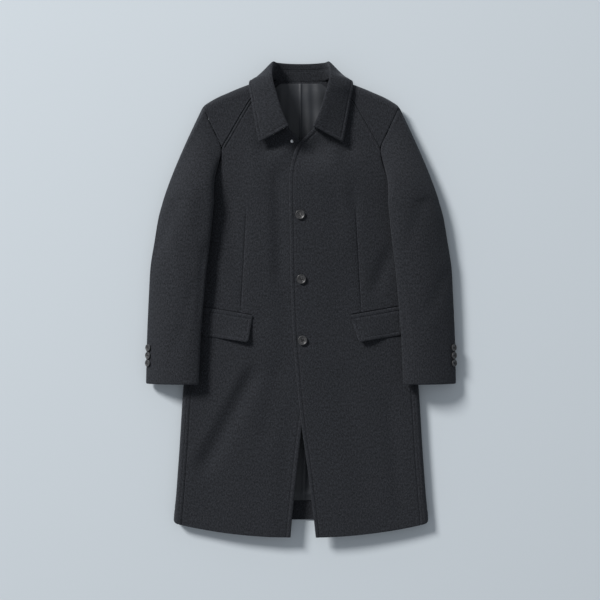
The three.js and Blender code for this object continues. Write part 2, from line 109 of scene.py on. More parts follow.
# Distance across and place along a line from (x1, y1) to (x2, y2), and its soft ends.
def alongLine(x, y, x1, y1, x2, y2, fade=25):
    length = np.hypot(x2 - x1, y2 - y1)
    along = ((x - x1) * (x2 - x1) + (y - y1) * (y2 - y1)) / length
    across = ((x - x1) * (y2 - y1) - (y - y1) * (x2 - x1)) / length
    return across, smooth(-fade, fade, along) * smooth(length + fade, length - fade, along)


frontFolds = [  # x and y of the start, x and y of the end, width, depth; a negative depth is a ridge
    (-106, -158, -228, -392, 22, 8),
    (-132, -150, -258, -372, 15, -1.8),
    (119, 269, 128, 201, 15, 3.2),
    (207, 120, 172, 24, 18, 5),
    (-56, 300, -50, 50, 17, 4.5),
    (-112, 352, -104, 240, 20, -2),
    (-58, -150, -84, -330, 24, 3),
    (92, -160, 150, -470, 30, 2.2),
    (205, -230, 232, -500, 16, 2),
    (-20, -240, -30, -420, 18, 1.4),
    (60, 330, 96, 150, 24, 1.6),
    (-165, 250, -150, 60, 20, 2.4),
    (-216, 160, -214, 20, 15, 2.2),
    (70, 20, 110, -60, 22, 1.5),
    (-75, -20, -118, -70, 20, 1.6),
    (-14, 358, 56, 348, 33, 21),
    (-92, 360, -48, 366, 22, 11),
    (100, 368, 122, 352, 22, 9),
    (96, 205, 108, 120, 24, -2.2),
]


backHollows = [  # shallow hollows pressed up into the back, so that it isn't a flat board
    (-60, 300, -30, -200, 22, 1.6), (80, 180, 40, -420, 26, 1.8), (-170, 60, -210, -430, 20, 1.6),
    (190, 150, 175, -300, 20, 1.4), (-150, 380, -90, 200, 18, 1.4), (150, 400, 110, 230, 18, 1.4),
]


# Depth of soft folds along lines: each is a bell across its line, faded at its ends.
def foldDepth(x, y, folds, fade):
    total = np.zeros(np.shape(x))
    for x1, y1, x2, y2, width, depth in folds:
        across, ends = alongLine(x, y, x1, y1, x2, y2, fade)
        total += depth * ends * bell(across, width)
    return total


# The quarter-round at the shoulder: 0 on the fold, 1 past it.
def shoulderShare(x, y, height):
    distance = (lookUp(shoulder, 1, np.abs(x)) - y) * 0.91
    return np.clip(distance / (height / 2), 0, 1)


# Height of the front: side folds' diameter, plus the chest's rise, less the soft folds.
def frontHeight(x, y):
    radius = lookUp(bodySections, 2, y)
    share = np.minimum(np.abs(x) / (lookUp(bodySections, 1, y) - radius), 1)
    edge = smooth(1, 0.9, share)
    waves = 0.5 * np.sin(x / 31 + y / 53) * np.sin(y / 41 - x / 67 + 1.3) * edge
    rise = lookUp(bodySections, 3, y) * (1 - share * share) ** 1.5
    height = 2 * radius + rise - foldDepth(x, y, frontFolds, 30) * smooth(1, 0.93, share) + waves
    return height / 2 * (1 + np.sqrt(1 - (1 - shoulderShare(x, y, height)) ** 2))


# The front's height at one point.
def heightAt(x, y):
    return float(frontHeight(np.array(float(x)), np.array(float(y))))


# Height of the back's outer face: flat, lifted over the collar, rounded up at the shoulder.
def backHeight(x, y):
    height = 2 * frontHeight(x, lookUp(shoulder, 1, np.abs(x)))
    climbed = shoulderShare(x, y, height)
    rounded = height / 2 * (1 - np.sqrt(1 - (1 - climbed) ** 2)) * smooth(48, 76, np.abs(x))
    return np.maximum(rounded, 4.5 * smooth(450, 492, y) * smooth(125, 104, np.abs(x)))


# How far the under front lies below the over front, where the two overlap.
def underDrop(ownX, y):
    return (wool + 0.6 + 1.8 * smooth(260, 310, y)) * smooth(78, 32, ownX) * smooth(402, 379, y)


# The hem curves up towards the side seams.
def hemRise(x):
    return 30 * (np.abs(x) / 290) ** 2.2


# Positions from 0 to length: fine steps near both ends and near each focus, coarse between.
def graded(length, fine=0.9, band=13, coarse=3.4, focus=()):
    places = [0.0]
    while places[-1] < length:
        here = places[-1]
        near = min([here, length - here] + [abs(here - f) - w for f, w in focus])
        places.append(here + fine + (coarse - fine) * float(smooth(band * 0.7, band * 1.5, near)))
    return np.array(places) / places[-1]


# Unit normals of a grid (rows, columns, 3): along the columns crossed with along the rows.
def gridNormals(points):
    normals = np.cross(np.gradient(points, axis=1), np.gradient(points, axis=0))
    return normals / np.maximum(np.linalg.norm(normals, axis=2, keepdims=True), 1e-9)


# Lengths along the cloth from the grid's middle, in metres, as its UV map.
def clothUv(points):
    across = np.linalg.norm(np.diff(points, axis=1), axis=2)
    along = np.linalg.norm(np.diff(points, axis=0), axis=2)
    u = np.concatenate([np.zeros((len(points), 1)), np.cumsum(across, axis=1)], axis=1)
    v = np.concatenate([np.zeros((1, points.shape[1])), np.cumsum(along, axis=0)], axis=0)
    u -= u[:, u.shape[1] // 2][:, None]
    return np.stack([u, v], axis=2) / 1000


# The same grid on the other side of the middle line, its columns reversed so that it still faces out.
def mirrored(points):
    return (points * np.array([-1.0, 1, 1]))[:, ::-1]


# Materials
# Sets a node's inputs by name; an underscore stands for a space.
def setInputs(node, **values):
    for key, value in values.items():
        node.inputs[key.replace("_", " ")].default_value = value


def newMaterial(name):
    material = bpy.data.materials.new(name)
    material.use_nodes = True
    tree = material.node_tree
    return material, tree, tree.nodes["Principled BSDF"]


def addNode(tree, kind, **values):
    node = tree.nodes.new(kind)
    setInputs(node, **values)
    return node


# A pattern node on the cloth's UV map or on Object coordinates.
def addPattern(tree, coordinates, kind, **values):
    node = addNode(tree, kind, **values)
    tree.links.new(tree.nodes.new("ShaderNodeTexCoord").outputs[coordinates], node.inputs[0])
    return node


# A colour ramp between two stops, each a position and a colour.
def addRamp(tree, source, low, high):
    ramp = tree.nodes.new("ShaderNodeValToRGB")
    for element, (position, color) in zip(ramp.color_ramp.elements, (low, high)):
        element.position = position
        element.color = color
    tree.links.new(source, ramp.inputs[0])
    return ramp.outputs[0]


# Bends the shader's normals by a height pattern, whose distance is in metres.
def addBump(tree, shader, source, strength, distance):
    bump = addNode(tree, "ShaderNodeBump", Strength=strength, Distance=distance)
    tree.links.new(source, bump.inputs["Height"])
    tree.links.new(bump.outputs[0], shader.inputs["Normal"])


woolLook = {
    "dark": (0.0125, 0.0136, 0.0168, 1), "middle": (0.035, 0.038, 0.0455, 1),
    "fibre": (0.145, 0.157, 0.182, 1), "heatherScale": 620.0, "twillScale": 190.0, "bump": 0.55,
    "roughness": 0.95, "sheen": 0.1,
}


# Heathered melton: two tones mottled at yarn size, pale fibre flecks, a faint twill and a felted bump.
def makeWool(name, look):
    material, tree, shader = newMaterial(name)
    link = tree.links.new
    scale = look["heatherScale"]
    mottle = addPattern(tree, "UV", "ShaderNodeTexNoise", Scale=scale, Detail=3.0, Roughness=0.65)
    fleck = addPattern(tree, "UV", "ShaderNodeTexNoise", Scale=scale * 1.9, Detail=2.0, Roughness=0.5)
    stretch = addPattern(tree, "UV", "ShaderNodeMapping", Scale=(1.3, 0.75, 1))
    cloud = addNode(tree, "ShaderNodeTexNoise", Scale=scale * 0.4, Detail=3.0, Roughness=0.75)
    link(stretch.outputs[0], cloud.inputs[0])
    turn = addPattern(tree, "UV", "ShaderNodeMapping", Rotation=(0, 0, 0.9))
    twill = addNode(tree, "ShaderNodeTexWave", Scale=look["twillScale"], Distortion=2.4, Detail=2.0)
    link(turn.outputs[0], twill.inputs[0])
    yarn = addRamp(tree, mottle.outputs[0], (0.34, look["dark"]), (0.66, look["middle"]))
    pale = addRamp(tree, fleck.outputs[0], (0.60, (0, 0, 0, 1)), (0.74, (0.62, 0.62, 0.62, 1)))
    tone = addRamp(tree, cloud.outputs[0], (0.40, (0.34, 0.34, 0.35, 1)), (0.60, (1, 1, 1, 1)))
    flecked = tree.nodes.new("ShaderNodeMixRGB")
    flecked.inputs[2].default_value = look["fibre"]
    link(pale, flecked.inputs[0])
    link(yarn, flecked.inputs[1])
    shaded = tree.nodes.new("ShaderNodeMixRGB")
    shaded.blend_type = "MULTIPLY"
    shaded.inputs[0].default_value = 1
    link(flecked.outputs[0], shaded.inputs[1])
    link(tone, shaded.inputs[2])
    link(shaded.outputs[0], shader.inputs["Base Color"])
    height = tree.nodes.new("ShaderNodeMath")
    height.operation = "MULTIPLY_ADD"
    height.inputs[1].default_value = 0.35
    link(twill.outputs[1], height.inputs[0])
    link(mottle.outputs[0], height.inputs[2])
    addBump(tree, shader, height.outputs[0], look["bump"], 0.0006)
    setInputs(shader, Roughness=look["roughness"], Specular_IOR_Level=0.25, Sheen_Weight=look["sheen"],
              Sheen_Roughness=0.55, Sheen_Tint=(0.75, 0.8, 0.9, 1))
    return material


# Satin lining: fine ribs across a soft sheen.
def makeSatin():
    material, tree, shader = newMaterial("greySatinLining")
    rib = addPattern(tree, "UV", "ShaderNodeTexWave", Scale=420.0, Distortion=0.6, Detail=1.0)
    cloud = addPattern(tree, "UV", "ShaderNodeTexNoise", Scale=26.0, Detail=3.0)
    tone = addRamp(tree, cloud.outputs[0], (0, (0.021, 0.0235, 0.0285, 1)), (1, (0.033, 0.037, 0.0445, 1)))
    tree.links.new(tone, shader.inputs["Base Color"])
    addBump(tree, shader, rib.outputs[1], 0.2, 0.0002)
    setInputs(shader, Roughness=0.55)
    return material


# Polished dark horn with faint cloudy streaks.
def makeHorn():
    material, tree, shader = newMaterial("darkHorn")
    streak = addPattern(tree, "Object", "ShaderNodeTexNoise", Scale=260.0, Detail=4.0, Distortion=1.2)
    dark, pale = (0.016, 0.016, 0.018, 1), (0.085, 0.084, 0.085, 1)
    tree.links.new(addRamp(tree, streak.outputs[0], (0.35, dark), (0.75, pale)), shader.inputs["Base Color"])
    setInputs(shader, Roughness=0.34)
    return material


# Thread: twisted strands shown by a fine bump.
def makeThread(name, color):
    material, tree, shader = newMaterial(name)
    twist = addPattern(tree, "Object", "ShaderNodeTexNoise", Scale=2600.0, Detail=1.0)
    addBump(tree, shader, twist.outputs[0], 0.4, 0.0002)
    setInputs(shader, Base_Color=color, Roughness=0.75)
    return material


# Polished steel with very fine scratches.
def makeSteel():
    material, tree, shader = newMaterial("brightSnapSteel")
    scratch = addPattern(tree, "Object", "ShaderNodeTexNoise", Scale=900.0, Detail=2.0)
    addBump(tree, shader, scratch.outputs[0], 0.08, 0.0001)
    setInputs(shader, Base_Color=(0.72, 0.73, 0.75, 1), Metallic=1, Roughness=0.24)
    return material


coatWool = makeWool("charcoalMelton", woolLook)
liningSatin = makeSatin()
darkHorn = makeHorn()
woolThread = makeThread("charcoalThread", (0.035, 0.037, 0.043, 1))
buttonThread = makeThread("buttonThread", (0.022, 0.022, 0.025, 1))
snapSteel = makeSteel()


# Meshes
# A mesh from whole arrays: points in millimetres, quads, and a UV for each point.
def addMesh(name, points, quads, uv, material):
    mesh = bpy.data.meshes.new(name)
    shifted = (points.reshape(-1, 3) - np.array([0, outlineMiddleY, 0])) / 1000
    mesh.from_pydata(shifted, [], quads)
    layer = mesh.uv_layers.new(name="cloth")
    corners = np.empty(len(mesh.loops), dtype=np.int32)
    mesh.loops.foreach_get("vertex_index", corners)
    layer.data.foreach_set("uv", uv.reshape(-1, 2)[corners].ravel())
    mesh.polygons.foreach_set("use_smooth", np.ones(len(mesh.polygons), dtype=bool))
    mesh.update()
    piece = bpy.data.objects.new(name, mesh)
    bpy.context.scene.collection.objects.link(piece)
    mesh.materials.append(material)
    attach(piece, "root")
    return piece


# Quads between the neighbouring points of a grid.
def gridQuads(rowCount, columnCount):
    i, j = np.meshgrid(np.arange(rowCount - 1), np.arange(columnCount - 1), indexing="ij")
    a = (i * columnCount + j).ravel()
    return np.stack([a, a + 1, a + columnCount + 1, a + columnCount], axis=1)


# A closed wall of cloth: the grid moved out and in along its normals, and a rim that rolls round the edge
# by a share of the wall's thickness.
def clothWall(name, points, outside, inside, material, normals=None, roll=0.25):
    rows, columns = points.shape[:2]
    normals = gridNormals(points) if normals is None else normals
    outer = points + normals * outside
    inner = points - normals * inside
    count = rows * columns
    index = np.arange(count).reshape(rows, columns)
    ring = np.concatenate([index[0, :-1], index[:-1, -1], index[-1, :0:-1], index[:0:-1, 0]])
    flat = points.reshape(-1, 3)
    ahead, behind = flat[np.roll(ring, -1)], flat[np.roll(ring, 1)]
    outward = np.cross(ahead - behind, normals.reshape(-1, 3)[ring])
    outward /= np.maximum(np.linalg.norm(outward, axis=1, keepdims=True), 1e-9)
    middle = (outer.reshape(-1, 3)[ring] + inner.reshape(-1, 3)[ring]) / 2
    middle = middle + outward * roll * (outside + inside)
    quads = gridQuads(rows, columns)
    rim = 2 * count + np.arange(len(ring))
    ringNext, rimNext = np.roll(ring, -1), np.roll(rim, -1)
    faces = np.concatenate([
        quads, quads[:, ::-1] + count,
        np.stack([ring, rim, rimNext, ringNext], axis=1),
        np.stack([rim, ring + count, ringNext + count, rimNext], axis=1),
    ])
    uv = clothUv(points).reshape(-1, 2)
    every = np.concatenate([outer.reshape(-1, 3), inner.reshape(-1, 3), middle])
    piece = addMesh(name, every, faces, np.concatenate([uv, uv, uv[ring]]), material)
    return piece


# Faces of a tube of rings: quads round it, then its two end caps.
def tubeFaces(ringCount, sides):
    i, j = np.meshgrid(np.arange(ringCount - 1), np.arange(sides), indexing="ij")
    a, b = (i * sides + j).ravel(), (i * sides + (j + 1) % sides).ravel()
    quads = np.stack([a, b, b + sides, a + sides], axis=1).tolist()
    last = (ringCount - 1) * sides
    return quads + [list(range(sides))[::-1], list(range(last, last + sides))]


# Puts parts, each its points and faces, into one list of points and one of faces.
def joined(parts):
    points, faces, start = [], [], 0
    for ring, quads in parts:
        points.append(ring)
        faces += [[corner + start for corner in face] for face in quads]
        start += len(ring)
    return np.concatenate(points), faces


# Rows of stitches, each a line of places and normals; they become one mesh at the end
stitchLook = {"length": 2.8, "gap": 0.9, "radius": 0.32, "sides": 5}
stitchRows = []


# Where a distance that falls towards the last row crosses a value, for each column of the grid.
def crossings(grid, distance, value):
    rows = np.clip(np.argmax(distance < value, axis=0), 1, len(grid) - 1)
    columns = np.arange(grid.shape[1])
    before, after = distance[rows - 1, columns], distance[rows, columns]
    t = ((before - value) / np.maximum(before - after, 1e-9))[:, None]
    return mix(grid[rows - 1, columns], grid[rows, columns], np.clip(t, 0, 1))


# Adds a row of stitches at a distance from an edge; across turns the grid so that its first column is
# the edge.
def addStitches(points, outside, distance, value, keep, side=1, across=False):
    normals = gridNormals(points)
    grid = np.concatenate([points + normals * outside, normals], axis=2)
    if across:
        grid, distance = grid.transpose(1, 0, 2)[::-1], distance.T[::-1]
    line = crossings(grid, distance, value)[keep]
    stitchRows.append(line * np.array([side, 1, 1, side, 1, 1]))


# Each stitch is a thin tube of rings along its row, arched over the cloth and sunk into it at both ends.
def makeStitches():
    length, sides = stitchLook["length"], stitchLook["sides"]
    along = np.array([0, 0.2, 0.5, 0.8, 1])
    lift = np.array([-0.15, 0.12, 0.22, 0.12, -0.15])[None, :, None]
    thick = stitchLook["radius"] * np.array([0.35, 0.9, 1, 0.9, 0.35])[None, :, None, None]
    angle = np.radians(np.arange(sides) * 360 / sides)[:, None]
    rings = []
    for line in stitchRows:
        far = np.concatenate([[0], np.cumsum(np.linalg.norm(np.diff(line[:, :3], axis=0), axis=1))])
        starts = np.arange(1, far[-1] - length, length + stitchLook["gap"])
        sample = starts[:, None] + along * length
        at = np.stack([np.interp(sample, far, line[:, c]) for c in range(6)], axis=2)
        normal = at[..., 3:] / np.linalg.norm(at[..., 3:], axis=2, keepdims=True)
        ahead = np.gradient(at[..., :3], axis=1)
        ahead /= np.linalg.norm(ahead, axis=2, keepdims=True)
        sideways = np.cross(normal, ahead)[:, :, None]
        middle = (at[..., :3] + normal * lift)[:, :, None]
        around = sideways * np.cos(angle) + normal[:, :, None] * np.sin(angle)
        rings += list(middle + thick * around)
    faces = tubeFaces(len(along), sides)
    points, faces = joined([(ring.reshape(-1, 3), faces) for ring in rings])
    piece = addMesh("topstitching", points, faces, np.zeros((len(points), 2)), woolThread)
    print(f"stitches done: {len(rings)}")


pockets = [  # side, then inner top, outer top, inner bottom and outer bottom corners in own x and y
    (1, "left", (118, -40), (235, -20), (136, -93), (235, -77)),
    (-1, "right", (115, -41), (235, -21), (123.5, -94), (235, -77)),
]


# Fronts: level rows from the front edge to the side seam, armhole and diagonal seam
frontLook = {
    "edgeStitch": 9.5, "seamStitch": 6.5, "buttonDimple": 1.6,
    "dart": (128, 208.5, 140.5, -22), "neckCrease": (28, 316, 28, 218),  # x and y of both ends
}
frontButtons = [(-2, 201.5), (1, 52), (3.5, -90.5)]


# Outer edge of a front: the side seam, then the armhole.
def sideEdge(y):
    return np.where(y <= armpitY, lookUp(bodySections, 1, y) - sideSeamInset, lookUp(armholeFront, 1, y))


# Turns a level distance from a slanted edge into the distance square to it.
def slopeCosine(function, y):
    slope = (function(y + 2) - function(y - 2)) / 4
    return 1 / np.sqrt(1 + slope ** 2)


# Rolled edges, stitched lines, darts and seams, as a distance out of the cloth at each point; also the
# distances from the front edge and from the side.
def frontRelief(ownX, y, edge, outer, edgeColumn, side):
    fromEdge = (ownX - edge) * slopeCosine(lambda at: lookUp(frontEdges, edgeColumn, at), y)
    fromSide = (outer - ownX) * slopeCosine(sideEdge, y)
    fromHem = y - hemY
    belowNeck = smooth(410, 396, y)
    relief = belowNeck * (-1.3 * np.clip(1 - fromEdge / 2.6, 0, 1) ** 2 + 0.45 * bell(fromEdge - 5, 3)
                          - 1.2 * bell(fromEdge - frontLook["edgeStitch"], 1.5))
    seam = smooth(352, 362, y)
    relief += (1 - seam) * (-0.7 * bell(fromSide, 1.6))
    relief += seam * (-0.9 * bell(fromSide, 1.5) + 0.6 * bell(fromSide - 3.2, 2)
                      - 1.3 * bell(fromSide - frontLook["seamStitch"], 1.4))
    relief += -1.2 * np.clip(1 - fromHem / 3, 0, 1) ** 2 - 0.35 * bell(fromHem - 40, 2.4)
    innerTop, outerTop = pockets[0 if side > 0 else 1][2:4]
    for above, width in [(8.8, 1.5), (0.3, 2)]:
        across, ends = alongLine(ownX, y - above, innerTop[0] - 1, innerTop[1], *outerTop, 2)
        relief += -2.8 * ends * bell(across, width)
    across, ends = alongLine(ownX, y, *frontLook["dart"], 22)
    relief += ends * (-1.7 * bell(across, 1.5) - 1.2 * bell(across, 9))
    return relief, fromEdge, fromSide


# A front from its edge to the side; the over front is pressed in under its buttons and creased beside them.
def makeFront(name, node, edgeColumn, side, drop):
    across = graded(262, 0.9, 12, 3.9, focus=[(128, 11), (158, 3)])[None, :]
    rowY = mix(hemY, 499, graded(499 - hemY, 1.1, 8, 4.9, focus=[(901, 6), (522, 18)]))[:, None]
    edge, outer = lookUp(frontEdges, edgeColumn, rowY), sideEdge(rowY) - 0.35
    ownX = mix(edge, outer, across)
    y = rowY + hemRise(ownX) * smooth(-440, hemY, rowY)
    z = frontHeight(side * ownX, y) - drop(ownX, y)
    if side > 0:
        for buttonX, buttonY in frontButtons:
            reach = np.hypot(ownX - buttonX, y - buttonY)
            z = z - frontLook["buttonDimple"] * bell(reach, 15)
            aside, ends = alongLine(ownX, y, buttonX + 8, buttonY - 3, buttonX + 52, buttonY - 16, 14)
            z = z - 0.9 * ends * bell(aside, 6)
        aside, ends = alongLine(ownX, y, *frontLook["neckCrease"], 20)
        z = z - 0.8 * ends * bell(aside, 2.4)
    form = np.stack([ownX, y, z], axis=2)
    relief, fromEdge, fromSide = frontRelief(ownX, rowY, edge, outer, edgeColumn, side)
    points = form + gridNormals(form) * relief[:, :, None]
    addStitches(points, 0, fromEdge, frontLook["edgeStitch"], rowY[:, 0] < 398, side, across=True)
    seamRows = rowY[:, 0] > 366
    addStitches(points[:, ::-1], 0, fromSide[:, ::-1], frontLook["seamStitch"], seamRows, side, across=True)
    points = points if side > 0 else mirrored(points)
    piece = clothWall(name, points, 0, wool, coatWool)
    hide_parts(node)


# Back: round the side folds onto the front, and up to the shoulder folds
# Distance along the cloth from the middle to the side seam or armhole.
def backEdge(y):
    radius = lookUp(bodySections, 2, y)
    around = lookUp(bodySections, 1, y) - radius + np.pi * radius + sideSeamInset - radius
    return np.where(y <= armpitY, around, lookUp(armholeBack, 1, y))


# Top edge: a shallow neck curve, then the shoulder fold.
def backTop(x):
    return np.where(x > 74, lookUp(shoulder, 1, x), 516 + 4 * (x / 74) ** 2)


# Each row is laid out from the middle: flat, then round the side fold by arc over radius, then on the front.
def makeBack():
    fractions = np.concatenate([np.linspace(0, 0.8, 44)[:-1], mix(0.8, 1, graded(60, 1.0, 12, 1.7))])[None, :]
    lower = mix(hemY, 240, graded(240 - hemY, 1.4, 8, 7.6))
    middle = np.arange(241, 300, 1.5)
    upper = np.concatenate([np.linspace(300, 438, 32), 456 - 18 * np.linspace(1, 0, 18)[1:] ** 1.6])
    rowY = np.concatenate([lower, middle, upper])[:, None]
    distance = fractions * backEdge(rowY)
    radius = lookUp(bodySections, 2, rowY)
    reach = lookUp(bodySections, 1, rowY) - radius
    turn = (distance - reach) / radius
    arc = np.clip(turn, 0, np.pi)
    beyond = np.maximum(distance - reach - np.pi * radius, 0)
    x = np.where(turn <= 0, distance, reach + radius * np.sin(arc) - beyond)
    z = np.where(turn <= 0, backHeight(distance, rowY + 0 * distance), radius * (1 - np.cos(arc)))
    z = np.where(turn >= np.pi, frontHeight(x, rowY + 0 * x), z)
    share = np.maximum((rowY - 300) / 156, 0)
    lift = smooth(8, 28, z)
    y = rowY + smooth(-440, hemY, rowY) * (hemRise(x) * lift + 37 * (1 - lift))
    y = np.where(share > 0, mix(300, backTop(x), share), y)
    z = np.where(share > 0, backHeight(x, y), z)
    form = np.stack([x, y, z], axis=2)
    fromSeam = (backEdge(rowY) - distance) * smooth(250, 240, rowY)
    fromHem = rowY - hemY
    relief = smooth(260, 240, rowY) * (-1.4 * bell(fromSeam, 2.2) - 0.8 * bell(fromSeam - 8, 1.3))
    relief = relief - 1.2 * np.clip(1 - fromHem / 3, 0, 1) ** 2 - 0.9 * bell(fromHem - 36, 1.6)
    half = form - gridNormals(form) * relief[:, :, None]
    flatPart = (z < 0.5) & (rowY < 440)
    left = half * np.array([-1.0, 1, 1])
    half[:, :, 2] += np.where(flatPart, foldDepth(x, y, backHollows, 40), 0)
    left[:, :, 2] += np.where(flatPart, foldDepth(-x, y, backHollows, 40), 0)
    points = np.concatenate([half[:, :0:-1], left], axis=1)
    piece = clothWall("backPanel", points, 0, wool, coatWool)
    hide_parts("back")


# Front shoulder yokes, ruled between the diagonal seam and the shoulder fold
def makeYoke(name, node, side):
    u = graded(150, 0.9, 10, 2.6)[None, :]
    v = graded(110, 0.9, 10, 2.2)[:, None]
    seamY = mix(499, 359, u)
    topX = mix(76, 229.15, u)
    topY = lookUp(shoulder, 1, topX)
    climb = 1 - (1 - v) ** 1.6
    x = mix(lookUp(armholeFront, 1, seamY) + 0.5, topX, climb)
    y = mix(seamY + 0.5, topY - 0.02, climb)
    form = np.stack([x, y, frontHeight(x, y)], axis=2)
    normals = gridNormals(form)
    fromSeam = np.linalg.norm(form - form[:1], axis=2)
    fromArm = np.linalg.norm(form - form[:, -1:], axis=2)
    relief = -0.9 * bell(fromSeam, 1.5) - 0.7 * bell(fromArm, 1.5) + 0.4 * bell(fromSeam - 3.5, 2)
    points = form + normals * relief[:, :, None]
    points = points if side > 0 else mirrored(points)
    piece = clothWall(name, points, 0, wool, coatWool)
    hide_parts(node)


makeFront("overFront", "front_left", 1, 1, lambda ownX, y: 0)
makeFront("underFront", "front_right", 2, -1, underDrop)
print("fronts done")
makeBack()
print("back done")
makeYoke("yokeLeft", "yoke_left", 1)
makeYoke("yokeRight", "yoke_right", -1)
print("yokes done")


# Sleeves: tubes lying on the surface outside and on the body's side inside
sleeveSections = np.array([  # y, own x of the outer fold, own x of the inner fold, loft
    (-192, 363, 237, 40), (-113, 361.5, 234, 41), (-57, 359.5, 231, 42), (27, 355.5, 223.5, 44),
    (83, 352, 218, 45), (139, 343, 211, 47), (195, 333.5, 205, 49), (230, 324, 201.5, 50),
    (275, 312, 199, 49), (320, 297, 196, 46),
])
armholeLoop = np.array([  # turn in degrees, own x, y, height (-1: on the front), stand-off
    (0, 229.9, 456.4, 17, 0), (18, 225, 444, -1, 0), (45, 214, 420, -1, 0), (75, 202.6, 395, -1, 0),
    (105, 186.4, 360, -1, 0), (130, 189, 330, -1, 3.5), (165, 200.5, 297, -1, 4), (200, 215, 270, -1, 4),
    (235, 236, 249.5, -1, 4), (252, 254, 247, 29, 0), (270, 262.5, 246, 15, 0), (285, 254.5, 251, 3.5, 0),
    (300, 232, 268.5, 0.6, 0), (315, 211, 293, 0.3, 0), (328, 198.5, 335, 0.3, 0), (343, 206.5, 395, 0.3, 0),
    (353, 221.5, 437, 3.5, 0), (360, 229.9, 456.4, 17, 0),
], dtype=float)
millimetresPerDegree = 0.78  # round a sleeve
sleeveCreases = {  # turn and y of the start, turn and y of the end, width, depth; a negative depth is a ridge
    1: [(62, 250, 118, 130, 13, 2.6), (120, 330, 82, 210, 14, 2.4), (38, 70, 92, -30, 13, 2.0),
        (132, 90, 104, -70, 12, 1.8), (70, -60, 58, -160, 12, 1.2), (98, 180, 70, 90, 10, -1.5),
        (150, 40, 140, -120, 9, 1.3), (25, 250, 30, 120, 12, 1.3)],
    -1: [(75, 260, 40, 120, 15, 2.6), (118, 300, 128, 150, 14, 2.4), (52, 60, 104, -20, 13, 1.9),
         (128, 40, 100, -110, 12, 2.0), (84, -80, 92, -170, 12, 1.1), (66, 170, 96, 60, 10, -1.4),
         (148, 120, 150, -40, 9, 1.3), (22, 200, 28, 60, 12, 1.2)],
}


# Height of what a sleeve lies on: the surface, then a ramp onto the side of the body.
def sleeveRest(ownX, y):
    half = lookUp(bodySections, 1, y)
    radius = lookUp(bodySections, 2, y)
    inside = np.minimum(ownX, half - 14)
    body = np.maximum(frontHeight(inside, y), 2 * radius) + 2
    return 0.3 + body * smooth(half + 20, half - 8, ownX)


# A level section: an upper and a lower rounded half on what the sleeve rests on.
def sleeveSection(turn, y):
    outer, inner, loft = (lookUp(sleeveSections, column, y) for column in (1, 2, 3))
    angle = np.radians(turn)
    x = (outer + inner) / 2 + (outer - inner) / 2 * np.cos(angle)
    sine = np.sin(angle)
    tilt = (outer - x) / (outer - inner)
    upper = mix(0.3, sleeveRest(inner, y), tilt) + loft / 2 * (1 + np.abs(sine) ** 1.5)
    lower = sleeveRest(x, y) + loft / 2 * (1 - np.abs(sine) ** 0.55)
    return np.stack([x, y + 0 * x, np.where(sine >= 0, upper, lower)], axis=-1)


# A point of the armhole loop: on the front where the loop lies on it, elsewhere between the table's heights.
def armholePoint(turn):
    x, y = lookUp(armholeLoop, 1, turn), lookUp(armholeLoop, 2, turn)
    turns, loopX, loopY, loopZ, standOff = armholeLoop.T
    chord = np.interp(turn, turns, np.where(loopZ < 0, frontHeight(loopX, loopY) + standOff, loopZ))
    exact = frontHeight(x, y) + np.interp(turn, turns, standOff)
    blend = smooth(12, 24, turn) * smooth(240, 225, turn)
    return np.stack([x, y, mix(chord, exact, blend)], axis=-1)


# The sleeve head runs from the armhole loop (head 0) into the level sections (head 1).
def sleevePoints(turn, head, y):
    loop = armholePoint(turn)
    extent = np.clip((loop[..., 1] - armpitY) * 0.45, 0, 90)
    target = sleeveSection(turn, np.where(head < 1, sleeveStartY + extent * (1 - head), y))
    share = (1 - (1 - head) ** 2)[..., None]
    points = loop * (1 - share) + target * share
    puff = 60 * (head * (1 - head)) ** 2 * np.where(turn < 180, np.sin(np.radians(turn)), 0)
    points[..., 2] += puff
    return points


# A panel between two turns, with the normals of the whole tube, so that it meets its neighbour edge to edge.
def makeSleevePanel(name, node, side, fromTurn, toTurn):
    degrees = mix(fromTurn, toTurn, graded(abs(toTurn - fromTurn) * millimetresPerDegree, 0.9, 8, 2.7))
    heads = np.concatenate([np.linspace(0, 0.12, 9), np.linspace(0.12, 1, 46)[1:]])
    levels = mix(sleeveStartY, cuffY, graded(sleeveStartY - cuffY, 1.0, 7, 3.6))[1:]
    head = np.concatenate([heads, np.ones(len(levels))])[::-1][:, None] + 0 * degrees
    level = np.concatenate([np.full(len(heads), float(sleeveStartY)), levels])[::-1][:, None] + 0 * degrees
    turn = np.mod(degrees, 360) + 0 * head
    form = sleevePoints(turn, head, level)
    ahead = sleevePoints(np.mod(degrees - 2, 360) + 0 * head, head, level)
    behind = sleevePoints(np.mod(degrees + 2, 360) + 0 * head, head, level)
    normals = np.cross(ahead - behind, np.gradient(form, axis=0))
    normals /= np.maximum(np.linalg.norm(normals, axis=2, keepdims=True), 1e-9)
    fromSeam = np.minimum(np.abs(degrees - degrees[0]), np.abs(degrees - degrees[-1])) * millimetresPerDegree
    fromArm = np.linalg.norm(form - form[-1:], axis=2)
    fromCuff = level - cuffY
    relief = -1.2 * bell(fromSeam, 1.8) - 0.7 * bell(fromArm, 1.5) + 0.5 * bell(fromArm - 6, 4)
    relief = relief - 1.2 * np.clip(1 - fromCuff / 3, 0, 1) ** 2 - 0.3 * bell(fromCuff - 38, 2.4)
    place = np.where(head < 1, sleeveStartY + (1 - head) * 215, level)
    scale = np.array([millimetresPerDegree, 1, millimetresPerDegree, 1, 1, 1])
    relief = relief - foldDepth(turn * millimetresPerDegree, place, np.array(sleeveCreases[side]) * scale, 28)
    points = form + normals * relief[:, :, None]
    if side < 0:
        points, normals = mirrored(points), mirrored(normals)
    piece = clothWall(name, points, 0, wool, coatWool, normals)
    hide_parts(node)


